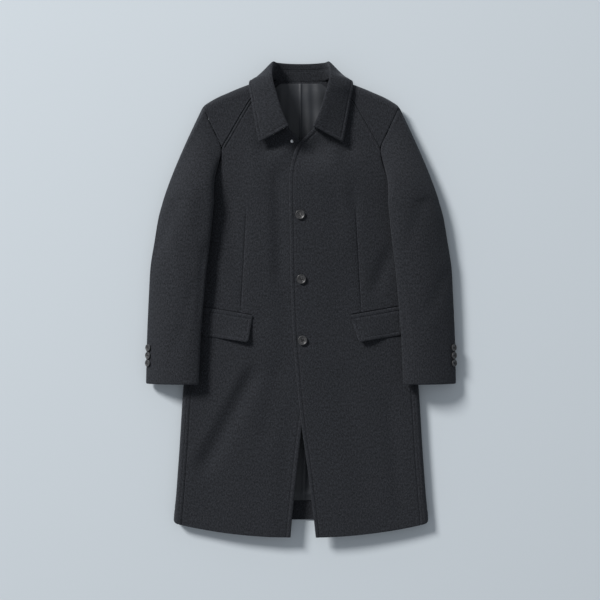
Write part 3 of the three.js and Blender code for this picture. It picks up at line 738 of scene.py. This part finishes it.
for side, word in [(1, "left"), (-1, "right")]:
    makeSleevePanel("topSleeve" + word.title(), "top_sleeve_" + word, side, 190.3, -8.8)
    makeSleevePanel("underSleeve" + word.title(), "under_sleeve_" + word, side, 350.8, 190.7)
print("sleeves done")


# Collar
collarStations = [  # neck seam, fold, belly of the fall and outer edge: own x, y, height (None: on the front)
    ((0, 516.7, 5.4), (0, 556.5, 12), (0, 551, 4), (0, 506, 1.8)),
    ((30, 517.2, 5.6), (30, 557, 13), (31, 552, 4.2), (33, 505.5, 1.8)),
    ((56, 519.5, 9), (55, 558, 20), (62, 551, 7), (66, 503.5, 1.9)),
    ((70, 523, 20), (65, 556, 42), (86, 538, 15), (97, 507.5, 2.3)),
    ((75, 519, 33), (68, 535, 57), (103, 524.5, 26), (112, 514.5, 10)),
    ((75, 506, None), (67, 518, 66), (102, 518, 48), (120, 513, 33)),
    ((72, 490, None), (63, 498, 70), (96, 498, 59), (119.5, 494, 44)),
    ((68, 477, None), (57, 478, 71), (88, 477, 61), (116, 476, 46)),
    ((54, 437, None), (45, 439, 71), (76, 433, 62), (108, 428, 49)),
    ((33, 401, None), (29.5, 404, 68), (60, 388, 61), (97, 370, 51)),
]
collarLook = {"neckRise": 2.5, "edgeRise": 3.3, "standShare": 0.68, "stitch": 7.0}


# Centripetal Catmull-Rom splines, many at once: control points (k, m, 3) at shares t (n) give (n, m, 3).
def splineThrough(controls, t):
    before, after = 2 * controls[:1] - controls[1:2], 2 * controls[-1:] - controls[-2:-1]
    controls = np.concatenate([before, controls, after])
    scaled = np.clip(t, 0, 1) * (len(controls) - 3)
    i = np.minimum(scaled.astype(int), len(controls) - 4)
    w = (scaled - i)[:, None, None]
    p0, p1, p2, p3 = (controls[i + k] for k in range(4))
    gaps = [np.maximum(np.linalg.norm(b - a, axis=2, keepdims=True) ** 0.5, 1e-4)
            for a, b in ((p0, p1), (p1, p2), (p2, p3))]
    d0, d1, d2 = gaps
    t1 = ((p1 - p0) / d0 - (p2 - p0) / (d0 + d1) + (p2 - p1) / d1) * d1
    t2 = ((p2 - p1) / d1 - (p3 - p1) / (d1 + d2) + (p3 - p2) / d2) * d1
    return p1 + t1 * w + (3 * (p2 - p1) - 2 * t1 - t2) * w ** 2 + (2 * (p1 - p2) + t1 + t2) * w ** 3


# A line round the whole collar through one column of the stations.
def collarLine(column, rise, t):
    places = [row[column] for row in collarStations]
    half = np.array([(x, y, heightAt(x, y) + rise if z is None else z) for x, y, z in places], dtype=float)
    whole = np.concatenate([half[:0:-1] * np.array([-1, 1, 1]), half])
    return splineThrough(whole[:, None, :], t)[:, 0]


# The fall rises inside from the top of the stand, turns over the fold and comes down to its outer edge.
def makeCollar():
    stitch = collarLook["stitch"]
    t = graded(470, 1.0, 10, 2.0)
    neck = collarLine(0, collarLook["neckRise"], t)
    fold = collarLine(1, 0, t)
    belly = collarLine(2, 0, t)
    edge = collarLine(3, collarLook["edgeRise"], t)
    standTop = mix(neck, fold, collarLook["standShare"])
    v = graded(95, 0.9, 10, 1.7)
    fallForm = splineThrough(np.stack([standTop, fold, belly, edge]), v)
    fromEdge = np.linalg.norm(fallForm - fallForm[-1:], axis=2)
    fromStart = np.linalg.norm(fallForm - fallForm[:, :1], axis=2)
    fromFinish = np.linalg.norm(fallForm - fallForm[:, -1:], axis=2)
    fromEnds = np.minimum(fromStart, fromFinish)
    fromSeam = np.linalg.norm(fallForm - fallForm[:1], axis=2)
    nearest = np.minimum(fromEdge, fromEnds + 60 * smooth(0.42, 0.3, v)[:, None])
    relief = (-0.9 * np.clip(1 - nearest / 2.4, 0, 1) ** 2 + 0.35 * bell(nearest - 3.8, 2)
              - 1.2 * bell(nearest - stitch, 1.5) - 0.7 * bell(fromSeam, 1.3))
    points = fallForm + gridNormals(fallForm) * relief[:, :, None]
    half = collarCloth / 2
    addStitches(points, half, fromEdge, stitch, fromEnds[-1] > stitch)
    for way, fromEnd in [(1, fromStart), (-1, fromFinish)]:
        reachesFront = (v > 0.4) & (fromEdge[:, ::way][:, 0] > stitch)
        addStitches(points[:, ::way], half, fromEnd[:, ::way], stitch, reachesFront, across=True)
    fall = clothWall("collarFall", points, half, half, coatWool)
    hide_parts("collar_fall")
    standForm = mix(neck[None], standTop[None], graded(34, 0.9, 5, 1.8)[:, None, None] * 0.965)
    fromTop = np.linalg.norm(standForm - standForm[-1:], axis=2)
    fromNeck = np.linalg.norm(standForm - standForm[:1], axis=2)
    sunk = 0.5 * bell(fromTop - 2.5, 1.1) + 0.8 * bell(fromNeck, 1.6)
    standPoints = standForm - gridNormals(standForm) * sunk[:, :, None]
    stand = clothWall("collarStand", standPoints, half, half, coatWool)
    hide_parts("collar_stand")


makeCollar()
print("collar done")


# Pocket flaps and the welts above them
flapLook = {"width": 118.0, "height": 54.0, "thickness": 3.0, "lift": 9.0, "cornerRadius": 7.0, "stitch": 6.5}
weltHeight = 7.0


# The flap is ruled between its bottom and top corners and lifts off the front towards its inner lower one.
def makeFlap(side, word, innerTop, outerTop, innerBottom, outerBottom):
    width, height, stitch = flapLook["width"], flapLook["height"], flapLook["stitch"]
    u = graded(width, 0.8, 10, 2.2)[None, :]
    v = graded(height, 0.7, 10, 1.8)[:, None]
    up = np.maximum(1 - v * height / flapLook["cornerRadius"], 0)
    inset = flapLook["cornerRadius"] * (1 - np.sqrt(1 - up ** 2)) / width
    slid = mix(inset, 1 - inset, u)
    ownX, y = (mix(mix(innerBottom[k], outerBottom[k], slid), mix(innerTop[k], outerTop[k], slid), v)
               for k in (0, 1))
    lift = 0.6 + flapLook["lift"] * (1 - v) ** 1.5 * smooth(0.75, 0, u) + 0.5 * np.sin(u * 7) * (1 - v) ** 2
    form = np.stack([ownX, y, frontHeight(side * ownX, y) + lift], axis=2)
    fromInner, fromOuter = u * width + 0 * v, (1 - u) * width + 0 * v
    fromBottom = v * height + 0 * u
    nearest = np.minimum(np.minimum(fromInner, fromOuter), fromBottom)
    relief = (-0.8 * np.clip(1 - nearest / 2.4, 0, 1) ** 2 + 0.35 * bell(nearest - 3.6, 2)
              - 0.9 * bell(nearest - stitch, 1.4) - 2.6 * bell((1 - v) * height, 2.6))
    points = form + gridNormals(form) * relief[:, :, None]
    clearOfSides = np.abs(u[0] * width - width / 2) < width / 2 - stitch
    addStitches(points[::-1], 0, fromBottom[::-1], stitch, clearOfSides, side)
    clearOfBottom = fromBottom[:, 0] > stitch
    for way, fromEnd in [(1, fromInner), (-1, fromOuter)]:
        addStitches(points[:, ::way], 0, fromEnd[:, ::way], stitch, clearOfBottom, side, across=True)
    points = points if side > 0 else mirrored(points)
    flap = clothWall("pocketFlap" + word.title(), points, flapLook["thickness"], 0, coatWool)
    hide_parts("pocket_flap_" + word)


# The welt is a narrow strip above the flap, bulged along its middle.
def makeWelt(side, word, innerTop, outerTop):
    w = graded(weltHeight, 0.6, 3, 0.9)[:, None]
    along = np.linspace(-0.015, 1, 70)[None, :]
    ownX = mix(innerTop[0], outerTop[0], along) + 0 * w
    y = mix(innerTop[1], outerTop[1], along) + 0.5 + weltHeight * w
    bulge = 1.3 * np.sqrt(np.clip(1 - (2 * w - 1) ** 2, 0, 1)) - 0.4
    points = np.stack([ownX, y, frontHeight(side * ownX, y) + bulge], axis=2)
    points = points if side > 0 else mirrored(points)
    welt = clothWall("pocketWelt" + word.title(), points, wool * 0.9, 0.1, coatWool)
    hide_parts("pocket_welt_" + word)


for pocket in pockets:
    makeFlap(*pocket)
    makeWelt(*pocket[:4])
print("pockets done")


# Back lining on the inner face of the back
liningHemY = -468
liningSections = np.array([  # y, half width
    (-468, 262), (-200, 248), (100, 230), (200, 222), (260, 205), (310, 184), (400, 188), (440, 196),
])
liningPleats = [  # x and y of the start, x and y of the end, width, depth; a negative depth stands up
    (-1, 520, 1, 60, 2.4, -1.7), (16, 512, 22, 330, 8, -1.5), (-24, 515, -34, 300, 9, -1.2),
    (38, 515, 48, 300, 9, -1.8), (-46, 500, -70, 260, 9, -1.5), (48, 500, 66, 250, 9, -1.6),
    (14, -250, 6, -470, 6, -2.6), (-14, -300, -18, -470, 5, -2), (-90, 100, -120, -430, 14, -1.5),
    (110, 100, 130, -430, 14, -1.5),
]


# The top follows the neck and then runs below the shoulder fold; the hem is turned up in a soft roll.
def makeLining():
    middle = np.linspace(-0.3, 0.3, 110)
    across = np.concatenate([np.linspace(-1, -0.3, 24), middle[1:], np.linspace(0.3, 1, 24)[1:]])
    rowY = mix(liningHemY, 440, graded(440 - liningHemY, 1.2, 14, 8))[:, None]
    x = across * lookUp(liningSections, 1, rowY)
    own = np.abs(x)
    top = mix(512, lookUp(shoulder, 1, own) - 34, smooth(45, 80, own))
    y = np.where(rowY < 280, rowY, mix(280, top, (rowY - 280) / 160))
    hemRoll = 3.0 * bell(rowY + 452, 7) * smooth(liningHemY, -463, rowY)
    z = backHeight(x, y) + wool + satin + 1.2 - foldDepth(x, y, liningPleats, 20) + hemRoll
    points = np.stack([x, y, z], axis=2)
    piece = clothWall("backLining", points, 0, satin, liningSatin)
    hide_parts("back_lining")


makeLining()
print("lining done")


# Buttons, with thread through the holes
frontButtonLook = {"diameter": 22.0, "thickness": 4.0, "rim": 2.6, "dish": 1.3, "hole": 1.9, "spacing": 4.2}
cuffButtonLook = {"diameter": 16.5, "thickness": 3.4, "rim": 2.0, "dish": 1.0, "hole": 1.5, "spacing": 3.2}
cuffButtonTurn = 24
cuffButtonHeights = [-108, -126, -144]


# Puts points whose own axis is z onto a place, their axis along the normal there.
def seated(points, place, normal):
    normal = normal / np.linalg.norm(normal)
    across = np.cross([0, 1, 0], normal)
    across /= np.linalg.norm(across)
    axes = np.stack([across, np.cross(normal, across), normal])
    return points @ axes + place


# The front's slope over 8 mm at a point, as a normal.
def frontNormal(x, y):
    slopeX = (heightAt(x + 4, y) - heightAt(x - 4, y)) / 8
    slopeY = (heightAt(x, y + 4) - heightAt(x, y - 4)) / 8
    return np.array([-slopeX, -slopeY, 1.0])


# Turns pairs of radius and height, from the lower middle to the upper middle, round the z axis.
def turned(profile, steps):
    angle = np.radians(np.arange(steps) * 360 / steps)[None, :]
    profile = np.array(profile, dtype=float)
    radius, height = profile[:, :1], profile[:, 1:] + 0 * angle
    ring = np.stack([radius * np.cos(angle), radius * np.sin(angle), height], axis=2)
    return ring.reshape(-1, 3), tubeFaces(len(profile), steps)


# From the middle of the underside round the rim, then down into the dish.
def buttonProfile(look):
    radius, tall, rim, dish = look["diameter"] / 2, look["thickness"], look["rim"], look["dish"]
    bend = np.radians(np.linspace(-60, 118, 11))
    curve = 0.42 * rim
    rounded = [(radius - curve + curve * np.cos(a), tall - curve + curve * np.sin(a)) for a in bend]
    dished = [(radius - rim * 1.0, tall - 0.35 * dish), (radius - rim * 1.35, tall - 0.8 * dish),
              (radius - rim * 1.75, tall - dish), (radius * 0.3, tall - dish)]
    return [(radius * 0.3, 0), (radius * 0.8, 0), (radius * 0.95, 0.3 * tall)] + rounded + dished


# A round tube along a line of places.
def roundTube(places, radius, sides=6):
    places = np.array(places, dtype=float)
    ahead = np.gradient(places, axis=0)
    ahead /= np.linalg.norm(ahead, axis=1, keepdims=True)
    first = np.cross(ahead, [0.31, 0.17, 0.94])
    first /= np.linalg.norm(first, axis=1, keepdims=True)
    second = np.cross(ahead, first)
    angle = np.radians(np.arange(sides) * 360 / sides)[None, :, None]
    ring = places[:, None] + radius * (first[:, None] * np.cos(angle) + second[:, None] * np.sin(angle))
    return ring.reshape(-1, 3), tubeFaces(len(places), sides)


# The four holes are bored with a boolean; the bores are removed after it is applied.
def boreHoles(button, place, normal, look):
    bores = []
    for i, j in [(-1, -1), (-1, 1), (1, -1), (1, 1)]:
        profile = [(look["hole"] / 2, -3 * look["thickness"]), (look["hole"] / 2, 3 * look["thickness"])]
        ring, faces = turned(profile, 14)
        bores.append((ring + [i * look["spacing"] / 2, j * look["spacing"] / 2, 0], faces))
    points, faces = joined(bores)
    points = (seated(points, place, normal) - [0, outlineMiddleY, 0]) / 1000
    mesh = bpy.data.meshes.new("bores")
    mesh.from_pydata(points, [], faces)
    cutter = bpy.data.objects.new("bores", mesh)
    bpy.context.scene.collection.objects.link(cutter)
    cut = button.modifiers.new("holes", "BOOLEAN")
    cut.operation = "DIFFERENCE"
    cut.solver = "EXACT"
    cut.object = cutter
    bpy.context.view_layer.objects.active = button
    with bpy.context.temp_override(object=button, active_object=button, selected_objects=[button]):
        bpy.ops.object.modifier_apply(modifier="holes")
    bpy.data.objects.remove(cutter)


# A bored button and its thread, two strands over each pair of holes.
def makeButton(name, node, look, place, normal):
    normal = normal / np.linalg.norm(normal)
    place = np.array(place, dtype=float) + 0.5 * normal
    points, faces = turned(buttonProfile(look), 48)
    button = addMesh(name, seated(points, place, normal), faces, np.zeros((len(points), 2)), darkHorn)
    boreHoles(button, place, normal, look)
    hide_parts(node)
    half, floor = look["spacing"] / 2, look["thickness"] - look["dish"]
    strands = []
    for column in (-1, 1):
        for shift in (-0.26, 0.26):
            line = [(column * half + shift, mix(-1, 1, t) * half, floor + 0.35 - 1.45 * (2 * t - 1) ** 8)
                    for t in np.linspace(0, 1, 9)]
            strands.append(roundTube(line, 0.27))
    points, faces = joined(strands)
    points = seated(points, place, normal)
    thread = addMesh(name + "Thread", points, faces, np.zeros((len(points), 2)), buttonThread)


for i, (x, y) in enumerate(frontButtons, 1):
    place = (x, y, heightAt(x, y))
    makeButton(f"frontButton{i}", f"front_button_{i}", frontButtonLook, place, frontNormal(x, y))
for word, side in [("left", 1), ("right", -1)]:
    for i, y in enumerate(cuffButtonHeights, 1):
        at = [sleeveSection(np.array(float(cuffButtonTurn + turn)), np.array(float(y + step)))
              for turn, step in [(0, 0), (-3, 0), (3, 0), (0, 5), (0, -5)]]
        place, normal = at[0] * [side, 1, 1], np.cross(at[1] - at[2], at[3] - at[4]) * [side, 1, 1]
        makeButton(f"cuffButton{word.title()}{i}", f"cuff_button_{word}_{i}", cuffButtonLook, place, normal)
print("buttons done")


# Snap at the neck of the under front
snapPlace = (-21.4, 373.5)
snapProfile = [  # radius, height
    (0.8, 0), (3.4, 0), (3.6, 0.2), (3.6, 0.55), (3.3, 0.8), (2.2, 0.95), (1.75, 1.15), (1.5, 1.6),
    (1.1, 1.92), (0.4, 2.02),
]


def makeSnap():
    x, y = snapPlace
    z = heightAt(x, y) - float(underDrop(-x, y))
    normal = frontNormal(x, y)
    place = np.array([x, y, z]) + 0.6 * normal / np.linalg.norm(normal)
    points, faces = turned(snapProfile, 40)
    snap = addMesh("neckSnap", seated(points, place, normal), faces, np.zeros((len(points), 2)), snapSteel)
    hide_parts("neck_snap")


makeSnap()
makeStitches()


# Floor, light and camera
stageLook = {
    "floor": (0.62, 0.672, 0.713, 1), "halfSize": 9.0, "floorZ": -0.0006, "air": (0.86, 0.91, 0.97, 1),
    "fill": 0.35, "sensor": 36, "lens": 71.2, "cameraPlace": (-0.0023, -0.0009, 2.8),
}
lamps = [  # name, place, size, power and colour; each is aimed at the origin
    ("keyLight", (-7.4, 7.0, 6.5), 3.2, 1580.0, (1, 0.99, 0.975)),
    ("softTop", (0.6, -0.6, 3.6), 3.0, 2.0, (0.95, 0.97, 1)),
]


def makeFloor():
    size, z = stageLook["halfSize"], stageLook["floorZ"]
    mesh = bpy.data.meshes.new("surface")
    corners = [(-size, -size, z), (size, -size, z), (size, size, z), (-size, size, z)]
    mesh.from_pydata(corners, [], [(0, 1, 2, 3)])
    surface = bpy.data.objects.new("surface", mesh)
    bpy.context.scene.collection.objects.link(surface)
    material, tree, shader = newMaterial("paleSurface")
    setInputs(shader, Base_Color=stageLook["floor"], Roughness=0.9, Specular_IOR_Level=0.15)
    mesh.materials.append(material)


def areaLight(name, place, size, power, color):
    light = bpy.data.lights.new(name, "AREA")
    light.shape = "DISK"
    light.size = size
    light.energy = power
    light.color = color
    lamp = bpy.data.objects.new(name, light)
    lamp.location = place
    lamp.rotation_euler = (-Vector(place)).to_track_quat("-Z", "Y").to_euler()
    bpy.context.scene.collection.objects.link(lamp)


def makeCamera():
    lens = bpy.data.cameras.new("topCamera")
    lens.sensor_width = stageLook["sensor"]
    lens.lens = stageLook["lens"]
    camera = bpy.data.objects.new("topCamera", lens)
    camera.location = stageLook["cameraPlace"]
    bpy.context.scene.collection.objects.link(camera)
    bpy.context.scene.camera = camera


makeFloor()
for lamp in lamps:
    areaLight(*lamp)
world = bpy.data.worlds.new("paleRoom")
world.use_nodes = True
world.node_tree.nodes["Background"].inputs[0].default_value = stageLook["air"]
world.node_tree.nodes["Background"].inputs[1].default_value = stageLook["fill"]
bpy.context.scene.world = world
makeCamera()
bpy.context.scene.view_settings.view_transform = "Standard"
print("stage done")
